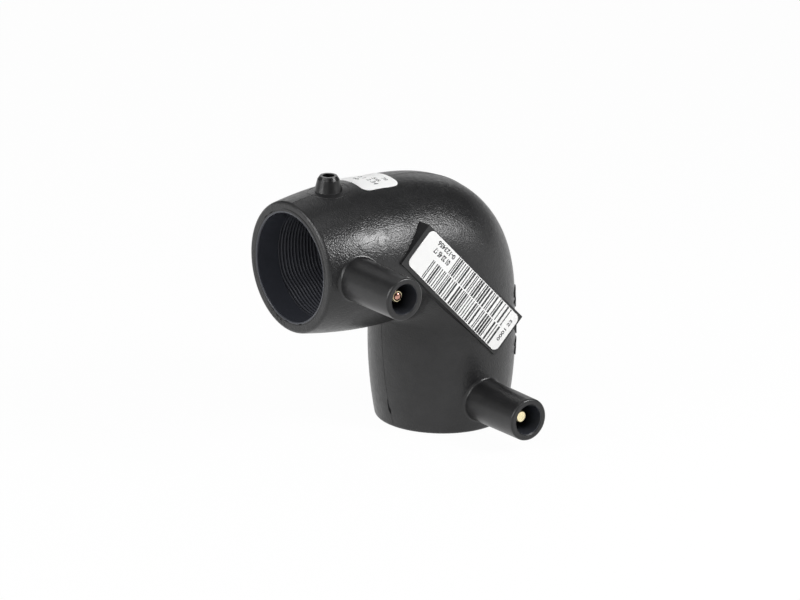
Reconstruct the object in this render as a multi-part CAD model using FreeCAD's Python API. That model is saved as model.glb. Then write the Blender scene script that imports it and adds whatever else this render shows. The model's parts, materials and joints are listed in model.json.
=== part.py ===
import FreeCAD, Part
import math
import os

from FreeCAD import Placement, Rotation, Vector

# Electrofusion elbow, 90 degrees, for two 40 mm polyethylene pipes.
# The black moulding holds one coated heating wire, wound as a coil just under the bore of each
# socket and led through the wall of the bend from one coil to the other. Its two ends sit in
# brass pins, each inside a shrouded terminal. A small well over each coil holds the indicator
# pin that rises when the joint has fused.
# Origin: centre of the lower socket's mouth. +Z runs up that socket's axis. The upper socket
# opens to -X and the terminals point to -Y. The outer side of the bend looks to +X and +Z.
# Everything is made on the lower leg and mirrored in the bisector plane for the upper one.

# Pipe, sockets and the passage between them
pipe_d = 40.0
pipe_wall = 3.7
pipe_gap = 0.25
socket_depth = 43.0
leg_length = 70.0
mouth_inner_round = 0.5
passage_inner_r = 1.7

# Outside of the moulding, walls measured from the socket's bore
mouth_wall = 4.1
mouth_round = 1.3
barrel_wall = 7.15
barrel_crest = 32.0
waist_drop = 0.4
crotch_r = 1.0
bend_swell = 1.6
bend_widening = 0.8
bend_sections = 9

# Heating wire
wire_d = 1.45
turn_groove = 0.4
turns = 17
coil_start = 9.5
bridge_cover = 0.55
bridge_corner = 21.3
bridge_overlap = 0.5
lead_d = 1.2
lead_in_pin = 5.0

# Terminals: their place is measured from the mouth, the shroud's length from the barrel's crest
terminal_at = 12.4
shroud_length = 25.7
shroud_root_gap = 0.8
shroud_d = 15.9
shroud_bore_d = 11.2
shroud_depth = 15.5
shroud_draft = 0.5
shroud_tip_round = 0.8
shroud_bore_round = 0.4
shroud_root_round = 1.0
pin_d = 4.7
pin_set_back = 4.5
pin_chamfer = 0.45
pin_root_gap = 1.75
pin_shank_d = 5.6
pin_flange_d = 7.4
pin_flange_t = 1.6
pin_flange_at = 3.0
pin_eye_d = 3.0
pin_eye_depth = 1.0
pin_eye_taper = 0.3

# Fusion indicators: their place is measured from the mouth, the well's height from the crest
well_at = 17.2
well_height = 4.6
well_base_d = 10.2
well_base_sink = 1.0
well_lip_d = 8.1
well_lip_h = 1.3
well_rim_d = 6.4
well_bore_d = 4.4
well_bore_depth = 5.0
indicator_d = 2.4
indicator_gap = 0.1
indicator_chamfer = 0.3
indicator_floor_gap = 0.75
indicator_set_back = 3.2

# Label pad and printed labels
pad_length = 61.8
pad_width = 17.8
pad_rise = 0.2
pad_root_gap = 0.3
pad_from_corner = 17.25
pad_edge_round = 0.3
label_length = 59.0
label_width = 15.9
label_t = 0.15
label_round = 2.4
label_along = 0.55
label_across = 0.3
label_skew = -0.7
sticker_at = 27.7
sticker_length = 16.2
sticker_front = 8.3
sticker_back = 16.4
sticker_round = 3.0

# Worked out from the sizes above
bore_r = pipe_d / 2 + pipe_gap
passage_r = pipe_d / 2 - pipe_wall
passage_bend_r = passage_r + passage_inner_r
mouth_r = bore_r + mouth_wall
barrel_r = bore_r + barrel_wall
waist_r = barrel_r - waist_drop
pivot_offset = waist_r + crotch_r
waist_at = leg_length - pivot_offset
corner = Vector(0, 0, leg_length)
coil_outer_r = bore_r + wire_d
coil_length = turns * wire_d
shroud_reach = barrel_r + shroud_length
shroud_floor = shroud_reach - shroud_depth
pin_tip = shroud_reach - pin_set_back
pin_root = coil_outer_r + pin_root_gap
well_top = barrel_r + well_height
indicator_floor = coil_outer_r + indicator_floor_gap
pad_top = max(barrel_r, waist_r + bend_widening) + pad_rise
up = Vector(0, 0, 1)
forward = Vector(0, -1, 0)
outward = Vector(1, 0, 0)
tiny = 1e-6
close = 0.01
slack = 0.1


def other_leg(shape):
    return shape.mirror(corner, Vector(1, 0, -1))


def revolve_about(edges, base, axis):
    face = Part.Face(Part.Wire(edges))
    solid = face.revolve(base, axis, 360)
    return Part.Solid(solid) if solid.ShapeType == "Shell" else solid


def line(a, b):
    return Part.LineSegment(a, b).toShape()


def polyline(points):
    return [line(a, b) for a, b in zip(points, points[1:] + points[:1])]


def turned(stations, base, axis):
    # stations are pairs of a height along the axis and a radius there
    side = Vector(0, 0, 1) if abs(axis.z) < 0.5 else Vector(1, 0, 0)
    points = [base + axis * height + side * radius for height, radius in stations]
    first = base + axis * stations[0][0]
    last = base + axis * stations[-1][0]
    loop = [first] + points + [last]
    loop = [p for i, p in enumerate(loop) if i == 0 or (p - loop[i - 1]).Length > tiny]
    return revolve_about(polyline(loop), base, axis)


def barrel(extra=0.0):
    # a round at the mouth, one arc that swells to the crest, then two equal arcs down to the waist
    crest_r = barrel_r + extra
    end_r = waist_r + extra
    rise = barrel_r - mouth_r
    rise_r = (barrel_crest ** 2 + rise ** 2) / (2 * rise)
    half_run = (waist_at - barrel_crest) / 2
    half_drop = (crest_r - end_r) / 2
    drop_r = (half_run ** 2 + half_drop ** 2) / (2 * half_drop)
    step = half_run / 2
    rise_centre = Vector(crest_r - rise_r, 0, barrel_crest)

    def rising(s):
        return rise_centre + Vector(math.sqrt(rise_r ** 2 - (barrel_crest - s) ** 2), 0, s - barrel_crest)

    def sag(run):
        return drop_r - math.sqrt(drop_r ** 2 - run ** 2)

    reach = math.sqrt((rise_r - mouth_round) ** 2 - (barrel_crest - mouth_round) ** 2)
    round_centre = Vector(rise_centre.x + reach, 0, mouth_round)
    away = (round_centre - rise_centre).normalize()
    face_edge = Vector(round_centre.x, 0, 0)
    round_end = round_centre + away * mouth_round
    round_mid = round_centre + (away + Vector(0, 0, -1)).normalize() * mouth_round
    crest = Vector(crest_r, 0, barrel_crest)
    middle = Vector(crest_r - half_drop, 0, barrel_crest + half_run)
    end = Vector(end_r, 0, waist_at)
    over = Vector(crest_r - sag(step), 0, barrel_crest + step)
    under = Vector(end_r + sag(step), 0, waist_at - step)
    edges = [
        line(Vector(0, 0, 0), face_edge),
        Part.Arc(face_edge, round_mid, round_end).toShape(),
        Part.Arc(round_end, rising(barrel_crest / 2), crest).toShape(),
        Part.Arc(crest, over, middle).toShape(),
        Part.Arc(middle, under, end).toShape(),
        line(end, Vector(0, 0, waist_at)),
        line(Vector(0, 0, waist_at), Vector(0, 0, 0)),
    ]
    return revolve_about(edges, Vector(0, 0, 0), up)


def bend(extra=0.0):
    # ovals that turn about the crotch and grow to mid-turn, outwards more than sideways
    pivot = corner + Vector(-pivot_offset, 0, -pivot_offset)
    wires = []
    for i in range(bend_sections):
        turn = math.pi / 2 * i / (bend_sections - 1)
        share = math.sin(2 * turn) ** 2
        swell = bend_swell * share
        radial = Vector(math.cos(turn), 0, math.sin(turn))
        tangent = Vector(-math.sin(turn), 0, math.cos(turn))
        centre = pivot + radial * (pivot_offset + swell)
        side = Vector(0, waist_r + bend_widening * share + extra, 0)
        reach = radial * (waist_r + swell + extra)
        if swell > tiny:
            ring = Part.Ellipse(centre + reach, centre + side, centre).toShape()
        else:
            ring = Part.Circle(centre, tangent, waist_r + extra).toShape()
        wires.append(Part.Wire([ring]))
    return Part.makeLoft(wires, True, False)


def shroud_r(reach):
    return shroud_d / 2 + (shroud_reach - reach) * math.tan(math.radians(shroud_draft))


def shroud():
    base = Vector(0, 0, terminal_at)
    root = coil_outer_r + shroud_root_gap
    tube = turned([(root, shroud_r(root)), (shroud_reach, shroud_r(shroud_reach))], base, forward)
    tip = [e for e in tube.Edges if e.BoundBox.YMax < slack - shroud_reach]
    return tube.makeFillet(shroud_tip_round, tip)


def with_root_rounds(body):
    # the rounds where the two shrouds leave the barrels
    edges = []
    spot_count = 7
    for axis_x, axis_z in ((0, terminal_at), (terminal_at - leg_length, leg_length)):
        for edge in body.Edges:
            spots = edge.discretize(Number=spot_count)
            off = [abs(math.hypot(p.x - axis_x, p.z - axis_z) - shroud_r(-p.y)) for p in spots]
            near_barrel = all(coil_outer_r < -p.y < barrel_r + slack for p in spots)
            if near_barrel and max(off) < close:
                edges.append(edge)
    return body.makeFillet(shroud_root_round, edges)


def shroud_hollow():
    base = Vector(0, 0, terminal_at)
    r = shroud_bore_d / 2
    return turned(
        [
            (shroud_floor, r),
            (shroud_reach - shroud_bore_round, r),
            (shroud_reach, r + shroud_bore_round),
        ],
        base,
        forward,
    )


def terminal_pin(eye):
    # the shank and its flange are moulded in and keep the pin from pulling out
    r = pin_d / 2
    shank_r = pin_shank_d / 2
    flange_top = shroud_floor - pin_flange_at
    flange_low = flange_top - pin_flange_t
    base = Vector(0, 0, terminal_at)
    solid = turned(
        [
            (pin_root, shank_r),
            (flange_low, shank_r),
            (flange_low, pin_flange_d / 2),
            (flange_top, pin_flange_d / 2),
            (flange_top, shank_r),
            (shroud_floor, shank_r),
            (shroud_floor, r),
            (pin_tip - pin_chamfer, r),
            (pin_tip, r - pin_chamfer),
        ],
        base,
        forward,
    )
    if eye:
        eye_r = pin_eye_d / 2
        cut = turned(
            [(pin_tip - pin_eye_depth, eye_r - pin_eye_taper), (pin_tip, eye_r)],
            base,
            forward,
        )
        solid = solid.cut(cut)
    return solid


def lead():
    # the stripped end of the wire, from the coil into the root of its pin
    base = Vector(0, 0, terminal_at)
    inner = coil_outer_r - wire_d / 2
    return turned([(inner, lead_d / 2), (pin_root + lead_in_pin, lead_d / 2)], base, forward)


def indicator_dome():
    base = Vector(0, 0, well_at)
    lip_low = well_top - well_lip_h
    return turned(
        [
            (indicator_floor, well_base_d / 2),
            (barrel_r - well_base_sink, well_base_d / 2),
            (lip_low, well_lip_d / 2),
            (well_top, well_rim_d / 2),
        ],
        base,
        outward,
    )


def indicator_well():
    base = Vector(0, 0, well_at)
    ledge = well_top - well_bore_depth
    hole_r = indicator_d / 2 + indicator_gap
    return turned(
        [
            (indicator_floor, hole_r),
            (ledge, hole_r),
            (ledge, well_bore_d / 2),
            (well_top, well_bore_d / 2),
        ],
        base,
        outward,
    )


def indicator_pin():
    base = Vector(0, 0, well_at)
    top = well_top - indicator_set_back
    r = indicator_d / 2
    stations = [(indicator_floor, r), (top - indicator_chamfer, r), (top, r - indicator_chamfer)]
    return turned(stations, base, outward)


def coil():
    # the turns lie side by side, so the inside of the coil is a row of ridges
    ridges = []
    for i in range(turns):
        low = coil_start + i * wire_d
        ridges += [(low, bore_r + turn_groove), (low + wire_d / 2, bore_r)]
    top = coil_start + coil_length
    inside = [Vector(r, 0, s) for s, r in ridges] + [Vector(bore_r + turn_groove, 0, top)]
    outside = [Vector(coil_outer_r, 0, top), Vector(coil_outer_r, 0, coil_start)]
    return revolve_about(polyline(inside + outside), Vector(0, 0, 0), up)


def bridge():
    # the run between the coils, in the wall on the side away from the terminals
    r = bore_r + bridge_cover + wire_d / 2
    start = Vector(0, r, coil_start + coil_length - bridge_overlap)
    low_turn = Vector(0, r, leg_length - bridge_corner)
    high_turn = Vector(-bridge_corner, r, leg_length)
    stop = Vector(start.z - leg_length, r, leg_length)
    path = Part.Wire([line(start, low_turn), line(low_turn, high_turn), line(high_turn, stop)])
    ring = Part.Wire([Part.Circle(start, up, wire_d / 2).toShape()])
    sharp_turns = 1
    return path.makePipeShell([ring], True, False, sharp_turns)


def rounded_plate(length, width, radius, low, high):
    # a plate that lies square to the forward direction, centred on the origin
    plate = Part.makeBox(length, high - low, width, Vector(-length / 2, -high, -width / 2))
    corners = [e for e in plate.Edges if e.BoundBox.XLength < tiny and e.BoundBox.ZLength < tiny]
    return plate.makeFillet(radius, corners)


def on_pad(shape):
    # from the origin to the pad's centre, with its length across the bisector
    centre = corner + Vector(-1, 0, -1).normalize() * pad_from_corner
    shape.Placement = Placement(centre, Rotation(Vector(0, 1, 0), 45)).multiply(shape.Placement)
    return shape


def label_pad():
    root = coil_outer_r + pad_root_gap
    pad = rounded_plate(pad_length, pad_width, pad_edge_round, root, pad_top)
    return on_pad(pad)


def barcode_label():
    plate = rounded_plate(label_length, label_width, label_round, pad_top, pad_top + label_t)
    shift = Placement(Vector(label_along, 0, label_across), Rotation(Vector(0, 1, 0), -label_skew))
    plate.Placement = shift.multiply(plate.Placement)
    return on_pad(plate)


def top_sticker():
    # wrapped over the top of the upper leg, and on past the waist onto the start of the bend
    skin_r = waist_r + label_t
    past_waist = turned([(waist_at, skin_r), (leg_length, skin_r)], Vector(0, 0, 0), up)
    skin = other_leg(barrel(label_t).fuse(past_waist))
    core = other_leg(barrel()).fuse(bend())
    width = sticker_front + sticker_back
    blank = Part.makeBox(sticker_length, width, leg_length)
    corners = [e for e in blank.Edges if e.BoundBox.XLength < tiny and e.BoundBox.YLength < tiny]
    blank = blank.makeFillet(sticker_round, corners)
    blank.translate(Vector(sticker_at - leg_length, -sticker_front, leg_length + bore_r / 2))
    return skin.cut(core).common(blank)


def socket():
    # rounded mouth edge, pipe socket, then the narrower passage behind the stop
    passage_end = leg_length - passage_bend_r
    points = [
        Vector(bore_r, 0, mouth_inner_round),
        Vector(bore_r, 0, socket_depth),
        Vector(passage_r, 0, socket_depth),
        Vector(passage_r, 0, passage_end),
        Vector(0, 0, passage_end),
        Vector(0, 0, 0),
        Vector(bore_r + mouth_inner_round, 0, 0),
    ]
    edges = [line(a, b) for a, b in zip(points, points[1:])]
    inset = mouth_inner_round * (1 - math.sqrt(0.5))
    edges.append(Part.Arc(points[-1], Vector(bore_r + inset, 0, inset), points[0]).toShape())
    return revolve_about(edges, Vector(0, 0, 0), up)


def coil_recess():
    top = coil_start + coil_length
    return turned([(coil_start, coil_outer_r), (top, coil_outer_r)], Vector(0, 0, 0), up)


def passage_bend():
    pivot = corner + Vector(-passage_bend_r, 0, -passage_bend_r)
    start = Vector(0, 0, leg_length - passage_bend_r)
    disc = Part.Face(Part.Wire([Part.Circle(start, up, passage_r).toShape()]))
    return disc.revolve(pivot, Vector(0, -1, 0), 90)


def heating_wire():
    half = coil().fuse(lead())
    return half.fuse([other_leg(half), bridge()]).removeSplitter()


def elbow_body(wire, pins):
    body = barrel().fuse([other_leg(barrel()), bend()]).removeSplitter()
    body = with_root_rounds(body.fuse([shroud(), other_leg(shroud())]))
    body = body.fuse([indicator_dome(), other_leg(indicator_dome()), label_pad()])
    hollows = [socket(), coil_recess(), shroud_hollow(), indicator_well()]
    hollows += [other_leg(h) for h in hollows]
    return body.cut(hollows + [passage_bend(), wire] + pins)


def main():
    os.makedirs("parts", exist_ok=True)
    wire = heating_wire()
    lower_pin = terminal_pin(False).cut(lead())
    upper_pin = other_leg(terminal_pin(True).cut(lead()))
    pieces = {
        "elbow_body": elbow_body(wire, [lower_pin, upper_pin]),
        "heating_wire": wire,
        "lower_terminal_pin": lower_pin,
        "upper_terminal_pin": upper_pin,
        "lower_indicator_pin": indicator_pin(),
        "upper_indicator_pin": other_leg(indicator_pin()),
        "barcode_label": barcode_label(),
        "top_sticker": top_sticker(),
    }
    for name, shape in pieces.items():
        solids = shape.Solids
        kept = solids[0] if len(solids) == 1 else Part.makeCompound(solids)
        print(name, len(solids), "solid", round(kept.Volume, 1), "mm3", "valid", kept.isValid())
        kept.exportStep("parts/" + name + ".step")


main()
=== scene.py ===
import json
import math
import random

import bmesh
import bpy
from mathutils import Matrix, Vector
from mathutils.bvhtree import BVHTree


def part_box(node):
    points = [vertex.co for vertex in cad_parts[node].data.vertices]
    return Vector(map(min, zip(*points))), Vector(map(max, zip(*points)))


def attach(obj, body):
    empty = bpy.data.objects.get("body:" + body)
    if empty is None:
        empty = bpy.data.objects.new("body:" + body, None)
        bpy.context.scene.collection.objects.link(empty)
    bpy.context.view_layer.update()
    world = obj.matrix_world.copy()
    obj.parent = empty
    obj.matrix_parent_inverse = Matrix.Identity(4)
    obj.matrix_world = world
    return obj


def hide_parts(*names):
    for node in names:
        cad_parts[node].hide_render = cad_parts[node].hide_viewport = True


# Electrofusion elbow, dressed for the render. Lengths in the dictionaries are in millimetres and
# angles in degrees. The lower socket stands on the floor, the upper one opens to -X.

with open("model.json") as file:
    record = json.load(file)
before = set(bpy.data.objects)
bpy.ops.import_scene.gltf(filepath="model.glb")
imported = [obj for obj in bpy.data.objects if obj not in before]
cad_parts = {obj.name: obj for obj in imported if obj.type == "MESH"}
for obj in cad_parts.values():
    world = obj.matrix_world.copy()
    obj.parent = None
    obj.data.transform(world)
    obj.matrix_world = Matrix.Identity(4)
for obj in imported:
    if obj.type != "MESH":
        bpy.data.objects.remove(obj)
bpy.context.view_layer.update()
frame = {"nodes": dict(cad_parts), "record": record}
print("frame loaded:", ", ".join(sorted(frame["nodes"])))

mm = 0.001
mounts = {m["name"]: m for m in frame["record"]["mounts"]}
boreR = mounts["lower_socket"]["dims"]["r_mm"]
legLength = mounts["upper_terminal"]["pos_m"][2] / mm
terminalHeight = mounts["lower_terminal"]["pos_m"][2] / mm
crotch = Vector((-28.0, 0, 42.0))      # the point that the bend turns about
toUpperLeg = Matrix(((0, 0, 1, -legLength), (0, 1, 0, 0), (1, 0, 0, legLength), (0, 0, 0, 1)))


# Materials

def newMaterial(name, **inputs):
    material = bpy.data.materials.new(name)
    material.use_nodes = True
    shader = material.node_tree.nodes["Principled BSDF"]
    for key, value in inputs.items():
        shader.inputs[key.replace("_", " ")].default_value = value
    return material, material.node_tree, shader


def addNode(tree, kind, inputs=None, **settings):
    # inputs are sockets to link from, or plain values
    node = tree.nodes.new("ShaderNode" + kind)
    for key, value in settings.items():
        setattr(node, key, value)
    for key, value in (inputs or {}).items():
        if isinstance(value, bpy.types.NodeSocket):
            tree.links.new(value, node.inputs[key])
        else:
            node.inputs[key].default_value = value
    return node


def placeInMm(tree):
    place = addNode(tree, "TexCoord").outputs["Object"]
    scaled = addNode(tree, "VectorMath", {0: place, "Scale": 1 / mm}, operation="SCALE")
    return scaled.outputs["Vector"]


def noise(tree, place, scale, detail=2.0, roughness=0.5):
    return addNode(tree, "TexNoise", {"Vector": place, "Scale": scale, "Detail": detail,
                                      "Roughness": roughness}).outputs["Fac"]


def mapRange(tree, value, low, high, newLow=0.0, newHigh=1.0, smooth=False):
    kind = "SMOOTHSTEP" if smooth else "LINEAR"
    return addNode(tree, "MapRange", {"Value": value, "From Min": low, "From Max": high,
                                      "To Min": newLow, "To Max": newHigh},
                   interpolation_type=kind).outputs["Result"]


def calc(tree, operation, a, b=0.0, clamp=False):
    return addNode(tree, "Math", {0: a, 1: b}, operation=operation, use_clamp=clamp).outputs[0]


def mixColour(tree, share, a, b):
    node = addNode(tree, "Mix", {"Factor": share}, data_type="RGBA")
    for socket, value in ((node.inputs[6], a), (node.inputs[7], b)):
        if isinstance(value, bpy.types.NodeSocket):
            tree.links.new(value, socket)
        else:
            socket.default_value = value
    return node.outputs[2]


def addBump(tree, height, depth, strength=1.0, under=None):
    inputs = {"Height": height, "Distance": depth * mm, "Strength": strength}
    if under is not None:
        inputs["Normal"] = under
    return addNode(tree, "Bump", inputs).outputs["Normal"]


moulding = {
    "dark": (0.0105, 0.0106, 0.0112, 1),
    "pale": (0.0165, 0.0165, 0.0171, 1),
    # painted light: the bores and their worn edges are lighter and bluer than the outside, standing in for
    # light inside the sockets
    "inside": (0.040, 0.043, 0.053, 1),
    # painted light: the shroud bores are lifted in the same way, standing in for light in them
    "deep": (0.034, 0.037, 0.045, 1),
    # painted shade: the wells round the indicator pins are darker than the moulding
    "well": (0.003, 0.003, 0.0034, 1),
    # lighter scuffed colour: real wear on the knocks, and partly painted highlight on the rubbed spots
    "scuffed": (0.055, 0.055, 0.056, 1), "scuffShare": 0.5,
    "specular": 0.5,
    "roughness": (0.28, 0.37), "insideRoughness": 0.36, "polished": 0.29,
    "grain": (1.95, 0.1), "mottle": (0.5, 0.08), "sink": (0.07, 0.3),     # per mm, depth
    # the grain is full round this spot and weaker elsewhere, where the gloss is duller instead
    "grained": ((-52.0, -24.0, 78.0), 34.0), "elsewhere": 0.9, "duller": 0.01,
    "shroudR": 8.33, "shroudFrom": 20.0, "shroudRoughness": 0.34,
    "boreMargin": 0.35,
    # where the grain is rubbed smooth: centre and reach; these spots are also lighter, partly scuffing and
    # partly painted highlight
    "rubbed": (((-52.6, -23.7, 83.0), 5.6), ((-46.4, -23.9, 83.2), 3.8), ((-55.5, -22.0, 86.0), 3.0)),
    "ragged": 2.0, "rubbedShare": 0.7,
    # the glossy wells, painted darker, and the bores of the two shrouds, painted lighter
    "wellAt": 17.2, "wellR": 5.3, "wellFrom": 26.5, "terminalR": 5.75, "terminalFrom": 37.3,
    "rootR": 8.75, "rootReach": 0.42,
    # the knocked stretch of the upper mouth, and the worn edge of both bores, which also gets the bores'
    # painted light
    "knocks": ((-70.0, 8.6, 50.5), 7.5), "knockDepth": 0.4, "knockShare": 0.6,
    "edgeHeight": 0.6, "edgeR": 20.9, "edgeRoughness": 0.18,
}


def offAxis(tree, a, b):
    squares = calc(tree, "ADD", calc(tree, "POWER", a, 2.0), calc(tree, "POWER", b, 2.0))
    return calc(tree, "SQRT", squares)


def legPlaces(tree, place):
    # the place seen from each leg: height over its mouth, reach to the outer side, and y
    axes = addNode(tree, "SeparateXYZ", {0: place}).outputs
    upper = calc(tree, "ADD", axes["X"], legLength), calc(tree, "SUBTRACT", axes["Z"], legLength), axes["Y"]
    return (axes["Z"], axes["X"], axes["Y"]), upper


def anyOf(tree, masks):
    share = masks[0]
    for mask in masks[1:]:
        share = calc(tree, "MAXIMUM", share, mask)
    return share


def nearSpot(tree, place, centre, reach, ragged):
    # 1 at the spot, 0 past its reach, with an uneven edge
    away = addNode(tree, "VectorMath", {0: place, 1: centre}, operation="DISTANCE").outputs["Value"]
    return mapRange(tree, calc(tree, "ADD", away, ragged), reach, reach * 0.25, smooth=True)


def makeMoulding():
    material, tree, shader = newMaterial("black_polyethylene", Specular_IOR_Level=moulding["specular"])
    place = placeInMm(tree)
    inside, glossy, deep, shroud, edges, wells = [], [], [], [], [], []
    for height, reach, y in legPlaces(tree, place):
        around = offAxis(tree, reach, y)
        within = calc(tree, "LESS_THAN", around, boreR + moulding["boreMargin"])
        within = calc(tree, "MULTIPLY", within, calc(tree, "LESS_THAN", height, legLength))
        pastEdge = calc(tree, "GREATER_THAN", height, moulding["edgeHeight"])
        inside.append(calc(tree, "MULTIPLY", within, pastEdge))
        within = calc(tree, "LESS_THAN", around, moulding["edgeR"])
        onEdge = calc(tree, "LESS_THAN", height, moulding["edgeHeight"])
        edges.append(calc(tree, "MULTIPLY", within, onEdge))
        fromTerminal = offAxis(tree, calc(tree, "SUBTRACT", height, terminalHeight), reach)
        within = calc(tree, "LESS_THAN", fromTerminal, moulding["terminalR"])
        deep.append(calc(tree, "MULTIPLY", within, calc(tree, "LESS_THAN", y, -moulding["terminalFrom"])))
        within = calc(tree, "LESS_THAN", fromTerminal, moulding["shroudR"])
        shroud.append(calc(tree, "MULTIPLY", within, calc(tree, "LESS_THAN", y, -moulding["shroudFrom"])))
        fromRoot = calc(tree, "ABSOLUTE", calc(tree, "SUBTRACT", fromTerminal, moulding["rootR"]))
        within = calc(tree, "LESS_THAN", fromRoot, moulding["rootReach"])
        glossy.append(calc(tree, "MULTIPLY", within, calc(tree, "LESS_THAN", y, 0.0)))
        fromWell = offAxis(tree, calc(tree, "SUBTRACT", height, moulding["wellAt"]), y)
        within = calc(tree, "LESS_THAN", fromWell, moulding["wellR"])
        outermost = calc(tree, "GREATER_THAN", reach, moulding["wellFrom"])
        wells.append(calc(tree, "MULTIPLY", within, outermost))
    inside, glossy, deep, shroud, edges, wells = (
        anyOf(tree, masks) for masks in (inside, glossy + wells, deep, shroud, edges, wells))
    outside = calc(tree, "SUBTRACT", 1.0, anyOf(tree, [inside, deep, edges]))

    fading = noise(tree, place, 0.16, 4, 0.62)
    speckle = noise(tree, place, 1.7, 3, 0.7)
    ragged = moulding["ragged"]
    edge = mapRange(tree, noise(tree, place, 0.5, 2, 0.5), 0.3, 0.7, -ragged, ragged)
    knocked = calc(tree, "MULTIPLY", nearSpot(tree, place, *moulding["knocks"], edge),
                   mapRange(tree, speckle, 0.5, 0.62))
    knocked = calc(tree, "MULTIPLY", knocked, outside)
    spots = [nearSpot(tree, place, centre, reach, edge) for centre, reach in moulding["rubbed"]]
    rubbed = calc(tree, "MULTIPLY", anyOf(tree, spots), moulding["rubbedShare"])
    smooth = anyOf(tree, [rubbed, glossy])
    grained = nearSpot(tree, place, *moulding["grained"], 0.0)

    base = mixColour(tree, mapRange(tree, fading, 0.35, 0.7), moulding["dark"], moulding["pale"])
    # painted light inside the bores and on their edges
    base = mixColour(tree, calc(tree, "MAXIMUM", inside, edges), base, moulding["inside"])
    # painted light in the shroud bores
    base = mixColour(tree, deep, base, moulding["deep"])
    # painted shade on the wells
    base = mixColour(tree, wells, base, moulding["well"])
    # the rubbed spots are lighter, partly scuffs and partly painted highlight; the knocks are real wear
    scuffsAndHighlight = calc(tree, "MULTIPLY", rubbed, moulding["scuffShare"])
    scuffsAndHighlight = calc(tree, "MAXIMUM", scuffsAndHighlight, calc(tree, "MULTIPLY", knocked, moulding["knockShare"]))
    base = mixColour(tree, scuffsAndHighlight, base, moulding["scuffed"])
    tree.links.new(base, shader.inputs["Base Color"])

    (grainScale, grainDepth), (mottleScale, mottleDepth) = moulding["grain"], moulding["mottle"]
    sinkScale, sinkDepth = moulding["sink"]
    mottle = noise(tree, place, mottleScale, 2, 0.5)
    rough = mapRange(tree, mottle, 0.3, 0.7, *moulding["roughness"])
    rough = calc(tree, "ADD", rough, mapRange(tree, grained, 0, 1, moulding["duller"], 0.0))
    levels = ((shroud, moulding["shroudRoughness"]), (smooth, moulding["polished"]),
              (inside, moulding["insideRoughness"]), (edges, moulding["edgeRoughness"]))
    for share, level in levels:
        rough = addNode(tree, "Mix", {"Factor": share, 2: rough, 3: level}).outputs[0]
    tree.links.new(rough, shader.inputs["Roughness"])

    even = calc(tree, "MAXIMUM", smooth, shroud)
    textured = addNode(tree, "Math", {0: even, 1: -0.8, 2: 1.0}, operation="MULTIPLY_ADD").outputs[0]
    textured = calc(tree, "MULTIPLY", outside, textured)
    textured = calc(tree, "MULTIPLY", textured, mapRange(tree, grained, 0, 1, moulding["elsewhere"], 1.0))
    normal = addBump(tree, noise(tree, place, sinkScale, 2, 0.45), sinkDepth, outside)
    normal = addBump(tree, mottle, mottleDepth, textured, normal)
    normal = addBump(tree, noise(tree, place, grainScale, 0), grainDepth, textured, normal)
    normal = addBump(tree, knocked, moulding["knockDepth"], 1.0, normal)
    tree.links.new(normal, shader.inputs["Normal"])
    return material


def makeCoat():
    material, tree, shader = newMaterial("wire_coat", Roughness=0.45, Specular_IOR_Level=0.4)
    place = placeInMm(tree)
    streak = noise(tree, place, 0.8, 3, 0.6)
    # painted light: the coat is lifted well above black, standing in for light inside the sockets
    base = mixColour(tree, streak, (0.036, 0.038, 0.046, 1), (0.050, 0.052, 0.062, 1))
    tree.links.new(base, shader.inputs["Base Color"])
    tree.links.new(addBump(tree, streak, 0.03), shader.inputs["Normal"])
    return material


def makeDullPlasticAndShade():
    # dark and without shine: real scratches, and painted shade for the liner seam gaps and the gate notch
    material, tree, shader = newMaterial("dull_plastic", Roughness=0.85, Specular_IOR_Level=0.12)
    streak = noise(tree, placeInMm(tree), 1.2, 3, 0.6)
    tree.links.new(mixColour(tree, streak, (0.004, 0.004, 0.0044, 1), (0.011, 0.011, 0.0116, 1)),
                   shader.inputs["Base Color"])
    return material


def makeMetal(name, colour, tint):
    material, tree, shader = newMaterial(name, Metallic=1.0)
    place = placeInMm(tree)
    tarnish = noise(tree, place, 1.1, 4, 0.65)
    base = mixColour(tree, mapRange(tree, tarnish, 0.35, 0.75), colour, tint)
    tree.links.new(base, shader.inputs["Base Color"])
    tree.links.new(mapRange(tree, tarnish, 0.3, 0.7, 0.12, 0.22), shader.inputs["Roughness"])
    scratches = noise(tree, place, 6.0, 3, 0.7)
    tree.links.new(addBump(tree, scratches, 0.012), shader.inputs["Normal"])
    return material


def makePaper(name, dim, bright):
    material, tree, shader = newMaterial(name, Specular_IOR_Level=0.4)
    place = placeInMm(tree)
    fibre = noise(tree, place, 2.6, 4, 0.6)
    base = mixColour(tree, fibre, dim, bright)
    tree.links.new(base, shader.inputs["Base Color"])
    tree.links.new(mapRange(tree, fibre, 0.3, 0.7, 0.38, 0.5), shader.inputs["Roughness"])
    tree.links.new(addBump(tree, fibre, 0.01), shader.inputs["Normal"])
    return material


def makeInk(name, dark, pale):
    material, tree, shader = newMaterial(name, Specular_IOR_Level=0.3)
    place = placeInMm(tree)
    patchy = noise(tree, place, 5.0, 3, 0.7)
    tree.links.new(mixColour(tree, patchy, dark, pale), shader.inputs["Base Color"])
    tree.links.new(mapRange(tree, patchy, 0.3, 0.7, 0.5, 0.7), shader.inputs["Roughness"])
    return material


bodyPlastic = makeMoulding()
coatPlastic = makeCoat()
dullPlasticAndShade = makeDullPlasticAndShade()
brass = makeMetal("turned_brass", (0.98, 0.88, 0.57, 1), (0.93, 0.79, 0.48, 1))
copper = makeMetal("copper_wire_end", (0.66, 0.36, 0.29, 1), (0.42, 0.21, 0.16, 1))
labelPaper = makePaper("coated_paper", (0.82, 0.82, 0.81, 1), (0.89, 0.89, 0.885, 1))
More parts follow.
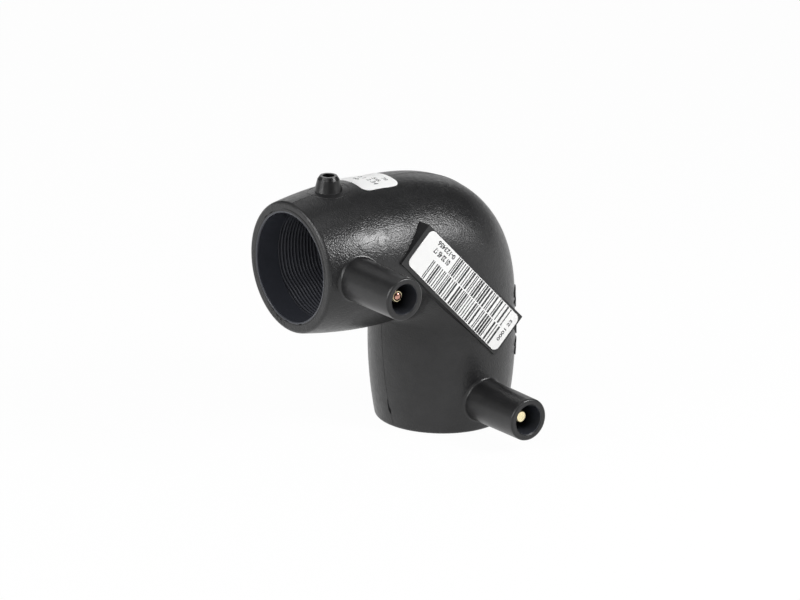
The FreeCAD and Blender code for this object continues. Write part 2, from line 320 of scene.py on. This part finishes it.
# painted light: the top sticker's paper is whiter than the label's, standing in for the stronger light on
# its upward face
stickerPaper = makePaper("bright_paper", (0.92, 0.92, 0.915, 1), (0.97, 0.97, 0.965, 1))
ink = makeInk("label_ink", (0.022, 0.022, 0.024, 1), (0.045, 0.045, 0.048, 1))
faintInk = makeInk("faint_ink", (0.020, 0.020, 0.022, 1), (0.060, 0.060, 0.063, 1))
print("materials made")


# Helpers that make and finish pieces

def toMm(bm):
    bmesh.ops.scale(bm, vec=(1 / mm,) * 3, verts=bm.verts)


def finishPiece(name, bm, material, sharp=35, replaced=()):
    # bm is in millimetres and in the part's own place
    bmesh.ops.recalc_face_normals(bm, faces=bm.faces)
    bmesh.ops.scale(bm, vec=(mm,) * 3, verts=bm.verts)
    mesh = bpy.data.meshes.new(name)
    bm.to_mesh(mesh)
    bm.free()
    mesh.shade_smooth()
    mesh.set_sharp_from_angle(angle=math.radians(sharp))
    mesh.materials.append(material)
    piece = bpy.data.objects.new(name, mesh)
    bpy.context.scene.collection.objects.link(piece)
    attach(piece, "root")
    if replaced:
        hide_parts(*replaced)
    return piece


def addMesh(bm, source):
    # the shape of a curve or text object, joined into bm; returns its new vertices
    before = set(bm.verts)
    mesh = bpy.data.meshes.new_from_object(source)
    bm.from_mesh(mesh)
    data = source.data
    bpy.data.objects.remove(source)
    bpy.data.curves.remove(data)
    bpy.data.meshes.remove(mesh)
    return [v for v in bm.verts if v not in before]


def addTube(bm, points, radius, sides=2, cyclic=False):
    curve = bpy.data.curves.new("tube", "CURVE")
    curve.dimensions = "3D"
    spline = curve.splines.new("POLY")
    spline.points.add(len(points) - 1)
    for target, point in zip(spline.points, points):
        target.co = (*point, 1)
    spline.use_cyclic_u = cyclic
    curve.bevel_depth = radius
    curve.bevel_resolution = sides
    curve.use_fill_caps = not cyclic
    return addMesh(bm, bpy.data.objects.new("tube", curve))


def addText(bm, words, height, length, thickness, place, bevel=0.0, bold=0.0):
    # words centred on place, stretched to that height and length, standing off by thickness
    curve = bpy.data.curves.new("words", "FONT")
    curve.body = words
    curve.align_x = "CENTER"
    curve.align_y = "CENTER"
    curve.extrude = 0.5
    curve.bevel_depth = bevel
    curve.offset = bold
    verts = addMesh(bm, bpy.data.objects.new("words", curve))
    low = Vector(min(v.co[i] for v in verts) for i in range(3))
    high = Vector(max(v.co[i] for v in verts) for i in range(3))
    middle = (low + high) / 2
    size = high - low
    stretch = Vector((length / size.x, height / size.y, thickness / size.z))
    for v in verts:
        v.co = place @ Vector((v.co[i] - middle[i]) * stretch[i] for i in range(3))
    return verts


def surfaceOf(node):
    bm = bmesh.new()
    bm.from_mesh(frame["nodes"][node].data)
    toMm(bm)
    tree = BVHTree.FromBMesh(bm)
    bm.free()
    return tree


bodySurface = surfaceOf("elbow_body")
stickerSurface = surfaceOf("top_sticker")


def dropOn(surface, start, direction):
    return surface.ray_cast(Vector(start), Vector(direction).normalized())[0]


# The winding: both coils with their rounded turns, the run between them and the ends in the pins

winding = {
    "start": 9.5, "pitch": 1.45, "turns": 17, "groove": 0.27, "outerR": 21.7,
    "rowsPerTurn": 12, "around": 144, "firstCrest": 10.1, "narrow": 2.4,
    # the wire steps to its next turn between these two angles
    "stepFrom": 114.0, "stepTo": 140.0,
    "bridgeR": 0.725, "bridgeY": 21.525, "bridgeCorner": 21.3,
    "leadR": 0.6, "leadFrom": 20.975, "leadTo": 28.45,
}


def stepShare(angle):
    share = (math.degrees(angle) - winding["stepFrom"]) / (winding["stepTo"] - winding["stepFrom"])
    share = min(1.0, max(0.0, share))
    return share * share * (3 - 2 * share)


def turnDepth(height, angle):
    # how far the bore lies outside its own radius there: 0 on a crest, all of it in a groove
    turn = (height - winding["firstCrest"]) / winding["pitch"] - stepShare(angle)
    if turn > winding["turns"] - 1 - stepShare(angle):
        return 0.0
    fade = max(0.0, min(1.0, (height - winding["start"]) / winding["groove"]))
    crest = math.cos(math.pi * turn) ** 2
    return winding["groove"] * fade * (1 - crest ** winding["narrow"])


def addCoil(bm, place):
    before = set(bm.verts)
    rows = winding["turns"] * winding["rowsPerTurn"]
    step = winding["pitch"] / winding["rowsPerTurn"]
    loop = [bm.verts.new((boreR, 0, winding["start"] + step * i)) for i in range(rows + 1)]
    loop.append(bm.verts.new((winding["outerR"], 0, loop[-1].co.z)))
    loop.append(bm.verts.new((winding["outerR"], 0, winding["start"])))
    edges = [bm.edges.new(pair) for pair in zip(loop, loop[1:] + loop[:1])]
    bmesh.ops.spin(bm, geom=loop + edges, cent=(0, 0, 0), axis=(0, 0, 1), angle=math.tau,
                   steps=winding["around"], use_merge=True)
    verts = [v for v in bm.verts if v not in before]
    for v in verts:
        radius = v.co.xy.length
        if radius < (boreR + winding["outerR"]) / 2:
            angle = math.atan2(v.co.y, v.co.x) % math.tau
            v.co.xy *= (radius + turnDepth(v.co.z, angle)) / radius
    bmesh.ops.transform(bm, matrix=place, verts=verts)


def makeWinding():
    bm = bmesh.new()
    coilEnd = winding["start"] + winding["turns"] * winding["pitch"]
    y = winding["bridgeY"]
    low = [(0, y, coilEnd - 0.5), (0, y, legLength - winding["bridgeCorner"])]
    high = [tuple(toUpperLeg @ Vector(p)) for p in reversed(low)]
    addTube(bm, low + high, winding["bridgeR"])
    for place in (Matrix.Identity(4), toUpperLeg):
        addCoil(bm, place)
        lead = [place @ Vector((0, -winding[key], terminalHeight)) for key in ("leadFrom", "leadTo")]
        addTube(bm, lead, winding["leadR"])
    return finishPiece("wound_coils", bm, coatPlastic, 80, ["heating_wire"])


makeWinding()


# The end of the copper wire, a bead over the eye of the upper pin

wireEnd = {"radius": 1.72, "height": 0.9, "rings": 8, "around": 48, "sunk": 0.02, "startsAt": 48.55}


def makeWireEnd():
    bm = bmesh.new()
    rings = wireEnd["rings"]
    profile = []
    for i in range(rings + 1):
        turn = math.pi / 2 * i / rings
        profile.append((wireEnd["radius"] * math.cos(turn), wireEnd["height"] * math.sin(turn)))
    verts = [bm.verts.new((r, 0, h)) for r, h in [(wireEnd["radius"], -wireEnd["sunk"])] + profile[:-1]]
    verts.append(bm.verts.new((0, 0, wireEnd["height"])))
    edges = [bm.edges.new(pair) for pair in zip(verts, verts[1:])]
    bmesh.ops.spin(bm, geom=verts + edges, cent=(0, 0, 0), axis=(0, 0, 1), angle=math.tau,
                   steps=wireEnd["around"], use_merge=True)
    bmesh.ops.remove_doubles(bm, verts=bm.verts, dist=1e-4)
    bmesh.ops.holes_fill(bm, edges=[e for e in bm.edges if e.is_boundary], sides=0)
    turned = Matrix.Rotation(math.pi / 2, 4, "X")
    middle = Matrix.Translation((terminalHeight - legLength, -wireEnd["startsAt"], legLength))
    bmesh.ops.transform(bm, matrix=middle @ turned, verts=bm.verts)
    return finishPiece("upper_wire_end", bm, copper)


makeWireEnd()
print("winding and wire end made")


# Moulding marks: the parting line, the ring that a mould insert left round each well, raised figures

marks = {
    "lineR": 0.13, "innerLineR": 0.09, "step": 0.8,
    "mouthGap": 1.6, "wellAt": 17.2, "wellClear": 5.4,
    "innerY": ((5.0, -2.6), (37.0, 0.8)),          # height and offset of the line on the inner side
    "ringR": 7.6, "ringTube": 0.1,
    # the sliver at its foot: height, offset, radius
    "gate": ((11.1, -1.5, 0.12), (8.4, -1.9, 0.3), (6.6, -2.3, 0.62), (5.2, -2.7, 0.18)),
    "gateFlat": 0.4,
    # how far off the rays start that find the wall, and how far inside the bend
    "rest": 60.0, "restInside": 20.0,
}


def spaced(low, high):
    count = max(2, round((high - low) / marks["step"]))
    return [low + (high - low) * i / count for i in range(count + 1)]


def outerPoint(height):
    return dropOn(bodySurface, (marks["rest"], 0, height), (-1, 0, 0))


def innerPoint(height):
    (lowZ, lowY), (highZ, highY) = marks["innerY"]
    y = lowY + (highY - lowY) * (height - lowZ) / (highZ - lowZ)
    return dropOn(bodySurface, (crotch.x - marks["restInside"], y, height), (1, 0, 0))


def bendPoint(turn):
    away = Vector((math.cos(turn), 0, math.sin(turn)))
    return dropOn(bodySurface, crotch + away * (marks["rest"] + marks["restInside"]), -away)


def makePartingLine():
    bm = bmesh.new()
    low = [outerPoint(z) for z in spaced(marks["mouthGap"], marks["wellAt"] - marks["wellClear"])]
    high = [outerPoint(z) for z in spaced(marks["wellAt"] + marks["wellClear"], crotch.z)]
    bend = [bendPoint(math.radians(turn)) for turn in range(1, 90)]
    inner = [innerPoint(z) for z in spaced(marks["mouthGap"], crotch.z - 1.5)]
    addTube(bm, low, marks["lineR"])
    addTube(bm, [toUpperLeg @ p for p in low], marks["lineR"])
    addTube(bm, high + bend + [toUpperLeg @ p for p in reversed(high)], marks["lineR"])
    addTube(bm, inner, marks["innerLineR"])
    addTube(bm, [toUpperLeg @ p for p in inner], marks["innerLineR"])
    return finishPiece("parting_line", bm, bodyPlastic)


def makeGateMarksAndShade():
    # the sliver of flash at the foot of each inner parting line, in dark dull plastic that paints the shade
    # of the notch there
    bm = bmesh.new()
    for place in (Matrix.Identity(4), toUpperLeg):
        rings = []
        for height, y, radius in marks["gate"]:
            wall = dropOn(bodySurface, (crotch.x - marks["restInside"], y, height), (1, 0, 0))
            flat = Matrix.Translation(wall) @ Matrix.Diagonal((marks["gateFlat"], 1, 1, 1))
            ring = bmesh.ops.create_circle(bm, segments=12, radius=radius, matrix=place @ flat)["verts"]
            rings.append({e for v in ring for e in v.link_edges})
        for low, high in zip(rings, rings[1:]):
            bmesh.ops.bridge_loops(bm, edges=list(low | high))
    bmesh.ops.holes_fill(bm, edges=[e for e in bm.edges if e.is_boundary], sides=0)
    return finishPiece("gate_marks", bm, dullPlasticAndShade)


def makeWellRings():
    bm = bmesh.new()
    ring = []
    for turn in range(0, 360, 5):
        angle = math.radians(turn)
        start = (marks["rest"], marks["ringR"] * math.cos(angle),
                 marks["wellAt"] + marks["ringR"] * math.sin(angle))
        ring.append(dropOn(bodySurface, start, (-1, 0, 0)))
    addTube(bm, ring, marks["ringTube"], cyclic=True)
    addTube(bm, [toUpperLeg @ p for p in ring], marks["ringTube"], cyclic=True)
    return finishPiece("well_rings", bm, bodyPlastic)


wear = {
    # scratches on the upper leg and the bend, as places along x and heights
    "scratches": (((-58.2, 84.2), (-57.8, 83.0), (-57.0, 82.0), (-55.8, 80.8), (-54.3, 79.6),
                   (-53.3, 78.7)),
                  ((-47.4, 83.9), (-48.0, 82.6), (-48.4, 81.5), (-47.9, 80.8), (-46.9, 80.4)),
                  ((-56.7, 81.9), (-54.1, 82.2), (-51.8, 82.5), (-49.4, 83.0), (-47.6, 84.4)),
                  ((-57.7, 87.3), (-56.4, 87.8), (-54.9, 87.8), (-53.6, 87.8)),
                  ((-23.3, 83.7), (-20.3, 83.5), (-17.5, 83.1), (-15.6, 82.3))),
    "scratchR": 0.11, "scratchSunk": 0.05,
    # painted shade of the open stretches of the seam round the wound liner, as dark slivers: angles from,
    # to, radius and half width
    "seam": ((274, 373, 21.8, 0.18), (29, 36, 21.4, 0.2), (40, 47, 21.5, 0.18), (83, 117, 22.0, 0.1),
             (149, 154, 21.2, 0.22), (157, 163, 21.6, 0.2), (165, 168, 21.95, 0.25),
             (172, 179, 20.95, 0.17), (196, 202, 21.0, 0.2), (0, 360, 21.3, 0.06)),
    "seamProud": 0.01, "seamSunk": 0.05, "seamStep": 2.0, "seamEnds": 0.15,
    # the fine lip along the inner edge of each mouth: radius, height, thickness
    "lip": (20.4, 0.15, 0.1), "lipStep": 3,
}


def makeScratches():
    bm = bmesh.new()
    for line in wear["scratches"]:
        points = []
        for x, z in line:
            point = dropOn(bodySurface, (x, -marks["rest"], z), (0, 1, 0))
            inwards = Vector((0, -point.y, legLength - point.z)).normalized()
            points.append(point + inwards * wear["scratchSunk"])
        addTube(bm, points, wear["scratchR"])
    return finishPiece("fine_scratches", bm, dullPlasticAndShade)


def makeSeamShade():
    # painted shade of the liner seam: dark slivers on the upper mouth's face, each tapered at its ends
    bm = bmesh.new()
    for start, stop, radius, half in wear["seam"]:
        before = set(bm.verts)
        sweep = math.radians(stop - start)
        ends = [bm.verts.new((radius + side * half, 0, -wear["seamProud"])) for side in (-1, 1)]
        steps = max(3, round((stop - start) / wear["seamStep"]))
        bmesh.ops.spin(bm, geom=ends + [bm.edges.new(ends)], cent=(0, 0, 0), axis=(0, 0, 1),
                       angle=sweep, steps=steps)
        strip = [v for v in bm.verts if v not in before]
        for v in strip:
            share = min(1.0, math.atan2(v.co.y, v.co.x) % math.tau / sweep)
            width = wear["seamEnds"] + (1 - wear["seamEnds"]) * math.sin(math.pi * share) ** 0.5
            v.co.xy *= (radius + (v.co.xy.length - radius) * width) / v.co.xy.length
        turn = Matrix.Rotation(math.radians(start), 3, "Z")
        bmesh.ops.rotate(bm, verts=strip, cent=(0, 0, 0), matrix=turn)
    thick = bmesh.ops.extrude_face_region(bm, geom=bm.faces[:], use_keep_orig=True)["geom"]
    thick = [v for v in thick if isinstance(v, bmesh.types.BMVert)]
    bmesh.ops.translate(bm, verts=thick, vec=(0, 0, wear["seamProud"] + wear["seamSunk"]))
    bmesh.ops.transform(bm, matrix=toUpperLeg, verts=bm.verts)
    return finishPiece("liner_seams", bm, dullPlasticAndShade)


def makeLips():
    bm = bmesh.new()
    radius, height, thickness = wear["lip"]
    turns = [math.radians(turn) for turn in range(0, 360, wear["lipStep"])]
    ring = [Vector((radius * math.cos(turn), radius * math.sin(turn), height)) for turn in turns]
    for place in (Matrix.Identity(4), toUpperLeg):
        addTube(bm, [place @ p for p in ring], thickness, cyclic=True)
    return finishPiece("mouth_lips", bm, bodyPlastic)


figures = {
    "words": (("90", 23.8, 29.8), ("40 40", 31.0, 49.8)),     # figures, lowest and highest point
    "height": 9.0, "angle": -36.0, "proud": 0.45, "sunk": 0.25, "wallR": 27.1, "longestEdge": 1.4,
}


def makeFigures():
    # plain figures up the outer side of the lower leg, bent round it
    bm = bmesh.new()
    for words, low, high in figures["words"]:
        upright = Matrix.Translation((0, (low + high) / 2, 0)) @ Matrix.Rotation(math.pi / 2, 4, "Z")
        addText(bm, words, figures["height"], high - low, 1.0, upright, 0.04)
    bmesh.ops.triangulate(bm, faces=bm.faces)
    for _ in range(3):
        long = [e for e in bm.edges if e.calc_length() > figures["longestEdge"]]
        bmesh.ops.subdivide_edges(bm, edges=long, cuts=1)
        bmesh.ops.triangulate(bm, faces=bm.faces)
    for v in bm.verts:
        angle = math.radians(figures["angle"]) + v.co.x / figures["wallR"]
        away = Vector((math.cos(angle), math.sin(angle), 0))
        height = Vector((0, 0, v.co.y))
        wall = dropOn(bodySurface, away * marks["rest"] + height, -away)
        share = v.co.z + 0.5
        v.co = wall + away * (share * (figures["proud"] + figures["sunk"]) - figures["sunk"])
    return finishPiece("raised_figures", bm, bodyPlastic)


makePartingLine()
makeGateMarksAndShade()
makeScratches()
makeSeamShade()
makeLips()
makeWellRings()
makeFigures()
print("moulding marks made")


# Print on the two labels: bars and plain figures

label = {
    "centreFromCorner": 17.25, "along": 0.55, "across": 0.3, "skew": 0.7,
    "ink": 0.02, "module": 0.43, "seed": 7,
    "rows": ((-20.3, 24.4, -7.75, 0.1), (-11.2, 24.4, 0.5, 7.75)),     # x from, to, y from, to
    # words, turn, x, y, length, height and boldness
    "figures": (("0-123456", 180, -18.0, 6.1, 10.6, 1.9, 0.03),
                ("01 23 45 67", 180, -18.1, 3.1, 9.6, 2.3, 0.04),
                ("0001 23", 90, 26.9, 0.4, 9.2, 1.4, 0.02)),
}


def labelPlace():
    # from the label's own plane, x along it and y across, to its front face
    low, high = (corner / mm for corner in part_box("barcode_label"))
    centre = Vector((-label["centreFromCorner"] / math.sqrt(2), low.y,
                     legLength - label["centreFromCorner"] / math.sqrt(2)))
    shift = Matrix.Translation((label["along"], 0, label["across"]))
    turn = Matrix.Rotation(math.radians(45), 4, "Y")
    skew = Matrix.Rotation(math.radians(label["skew"]), 4, "Y")
    flat = Matrix.Rotation(math.pi / 2, 4, "X")
    return Matrix.Translation(centre) @ turn @ shift @ skew @ flat


def addBar(bm, left, right, low, high, place):
    size = Matrix.Diagonal((right - left, high - low, label["ink"] * 2, 1))
    middle = Matrix.Translation(((left + right) / 2, (low + high) / 2, 0))
    bmesh.ops.create_cube(bm, size=1.0, matrix=place @ middle @ size)


def makeBars():
    bm = bmesh.new()
    place = labelPlace()
    dice = random.Random(label["seed"])
    for left, right, low, high in label["rows"]:
        x = left
        while x < right:
            bar = label["module"] * dice.choice((1, 1, 1, 1, 2, 2))
            addBar(bm, x, min(x + bar, right), low, high, place)
            x += bar + label["module"] * dice.choice((1, 1, 1, 2, 2, 3))
    return finishPiece("label_bars", bm, ink)


def makeLabelFigures():
    bm = bmesh.new()
    place = labelPlace()
    for words, turn, x, y, length, height, bold in label["figures"]:
        spot = Matrix.Translation((x, y, 0)) @ Matrix.Rotation(math.radians(turn), 4, "Z")
        addText(bm, words, height, length, label["ink"] * 2, place @ spot, bold=bold)
    return finishPiece("label_figures", bm, ink)


sticker = {
    # words, place along the leg, place round it, length, height
    "figures": (("0 1 2", -35.3, 1.6, 7.0, 1.8), ("34", -35.1, -4.3, 2.8, 2.1),
                ("56", -32.3, -1.7, 4.2, 1.9), ("78", -29.2, -2.6, 2.6, 1.6),
                ("90", -38.2, 3.0, 3.2, 1.3)),
    "ink": 0.02,
}


def makeStickerFigures():
    bm = bmesh.new()
    for words, x, y, length, height in sticker["figures"]:
        spot = Matrix.Translation((x, y, 0)) @ Matrix.Rotation(-math.pi / 2, 4, "Z")
        addText(bm, words, height, length, 1.0, spot)
    for v in bm.verts:
        top = dropOn(stickerSurface, (v.co.x, v.co.y, legLength + marks["rest"]), (0, 0, -1))
        v.co = top + Vector((0, 0, v.co.z * 2 * sticker["ink"]))
    return finishPiece("sticker_figures", bm, faintInk)


makeBars()
makeLabelFigures()
makeStickerFigures()
print("labels printed")


# Finishes of the modelled nodes

finishes = {
    "elbow_body": (bodyPlastic, "body"),
    "lower_terminal_pin": (brass, "pin_metal"),
    "upper_terminal_pin": (brass, "pin_metal"),
    "lower_indicator_pin": (bodyPlastic, "indicator"),
    "upper_indicator_pin": (bodyPlastic, "indicator"),
    "barcode_label": (labelPaper, "label"),
    "top_sticker": (stickerPaper, "label"),
}
for node, (material, slotName) in finishes.items():
    shown = frame["nodes"][node]
    shown.data.materials.clear()
    shown.data.materials.append(material)


# Stage, light and camera

stage = {"floorSize": 6.0, "floorWhite": 0.9, "floorGlow": 0.97, "worldForLight": 0.02}
# what the gloss sees of the studio: height in the sky from -1 to 1, and brightness
sky = ((0.0, 0.6), (0.15, 0.3), (0.35, 0.02), (0.6, 0.09), (1.0, 0.23))


def isSeen(tree, *kinds):
    # 1 for rays of these kinds
    rays = addNode(tree, "LightPath").outputs
    seen = rays["Is " + kinds[0] + " Ray"]
    for kind in kinds[1:]:
        seen = calc(tree, "MAXIMUM", seen, rays["Is " + kind + " Ray"])
    return seen


def makeStage():
    material, tree, shader = newMaterial("pale_floor", Roughness=0.9, Specular_IOR_Level=0.0)
    shader.inputs["Base Color"].default_value = (stage["floorWhite"],) * 3 + (1,)
    glow = addNode(tree, "Emission", {"Color": (1, 1, 1, 1), "Strength": 1.0})
    share = calc(tree, "MULTIPLY", isSeen(tree, "Camera", "Glossy", "Transmission"), stage["floorGlow"])
    mixed = addNode(tree, "MixShader", {0: share, 1: shader.outputs[0], 2: glow.outputs[0]})
    tree.links.new(mixed.outputs[0], tree.nodes["Material Output"].inputs["Surface"])
    bm = bmesh.new()
    bmesh.ops.create_grid(bm, x_segments=1, y_segments=1, size=stage["floorSize"] / 2)
    mesh = bpy.data.meshes.new("floor")
    bm.to_mesh(mesh)
    bm.free()
    mesh.materials.append(material)
    floor = bpy.data.objects.new("floor", mesh)
    bpy.context.scene.collection.objects.link(floor)


def makeWorld():
    world = bpy.data.worlds.new("studio")
    bpy.context.scene.world = world
    world.use_nodes = True
    tree = world.node_tree
    height = addNode(tree, "SeparateXYZ", {0: addNode(tree, "TexCoord").outputs["Generated"]}).outputs["Z"]
    ramp = addNode(tree, "ValToRGB", {0: mapRange(tree, height, -1, 1)})
    stops = ramp.color_ramp.elements
    while len(stops) < len(sky):
        stops.new(0.5)
    for stop, (place, strength) in zip(stops, sky):
        stop.position = (place + 1) / 2
        stop.color = (strength, strength, strength, 1)
    strength = stage["worldForLight"]
    for kinds, level in ((("Glossy",), ramp.outputs["Color"]), (("Camera", "Transmission"), 1.0)):
        strength = addNode(tree, "Mix", {"Factor": isSeen(tree, *kinds), 2: strength, 3: level}).outputs[0]
    tree.links.new(strength, tree.nodes["Background"].inputs["Strength"])
    tree.nodes["Background"].inputs["Color"].default_value = (1, 1, 1, 1)


lamps = {
    # azimuth from the front towards the right, elevation, distance, width, height, power
    "key": (30, 35, 0.55, 0.16, 0.16, 1.9),
    "keyLow": (45, 25, 0.55, 0.16, 0.16, 0.5),
    "fill": (-60, 35, 0.9, 0.5, 0.5, 2.2),
    "left": (-100, 25, 0.9, 0.5, 0.5, 4.75),
    "top": (20, 78, 0.9, 0.3, 0.3, 0.5),
    "rimRight": (143, 20, 0.9, 0.6, 0.25, 0.65),
    "rimLeft": (-150, 25, 0.9, 0.5, 0.3, 0.15),
    "back": (170, 55, 0.9, 0.5, 0.3, 0.5),
}


def makeLamps():
    middle = Vector((-19.5, 0, 48)) * mm
    for name, (azimuth, elevation, distance, width, height, power) in lamps.items():
        a, e = math.radians(azimuth), math.radians(elevation)
        away = Vector((math.sin(a) * math.cos(e), -math.cos(a) * math.cos(e), math.sin(e)))
        data = bpy.data.lights.new(name, "AREA")
        data.shape = "RECTANGLE"
        data.size = width
        data.size_y = height
        data.energy = power
        lamp = bpy.data.objects.new(name, data)
        lamp.location = middle + away * distance
        lamp.rotation_euler = away.to_track_quat("Z", "Y").to_euler()
        bpy.context.scene.collection.objects.link(lamp)


photoCamera = {
    "azimuth": -37.269, "elevation": 18.656, "roll": 0.71, "distance": 2657.7,
    "target": (-19.474, 0, 47.820), "lens": 325.08, "sensor": 36.0,
}


def makeCamera():
    a, e, r = (math.radians(photoCamera[key]) for key in ("azimuth", "elevation", "roll"))
    back = Vector((math.sin(a) * math.cos(e), -math.cos(a) * math.cos(e), math.sin(e)))
    right = Vector((math.cos(a), math.sin(a), 0))
    up = back.cross(right)
    tiltedRight = right * math.cos(r) + up * math.sin(r)
    tiltedUp = up * math.cos(r) - right * math.sin(r)
    data = bpy.data.cameras.new("photo_camera")
    data.sensor_width = photoCamera["sensor"]
    data.lens = photoCamera["lens"]
    data.clip_start = 0.1
    data.clip_end = 50
    camera = bpy.data.objects.new("photo_camera", data)
    turn = Matrix((tiltedRight, tiltedUp, back)).transposed().to_4x4()
    place = (Vector(photoCamera["target"]) + back * photoCamera["distance"]) * mm
    camera.matrix_world = Matrix.Translation(place) @ turn
    bpy.context.scene.collection.objects.link(camera)
    bpy.context.scene.camera = camera


makeStage()
makeWorld()
makeLamps()
makeCamera()
bpy.context.scene.view_settings.view_transform = "Standard"
print("stage, lamps and camera ready")
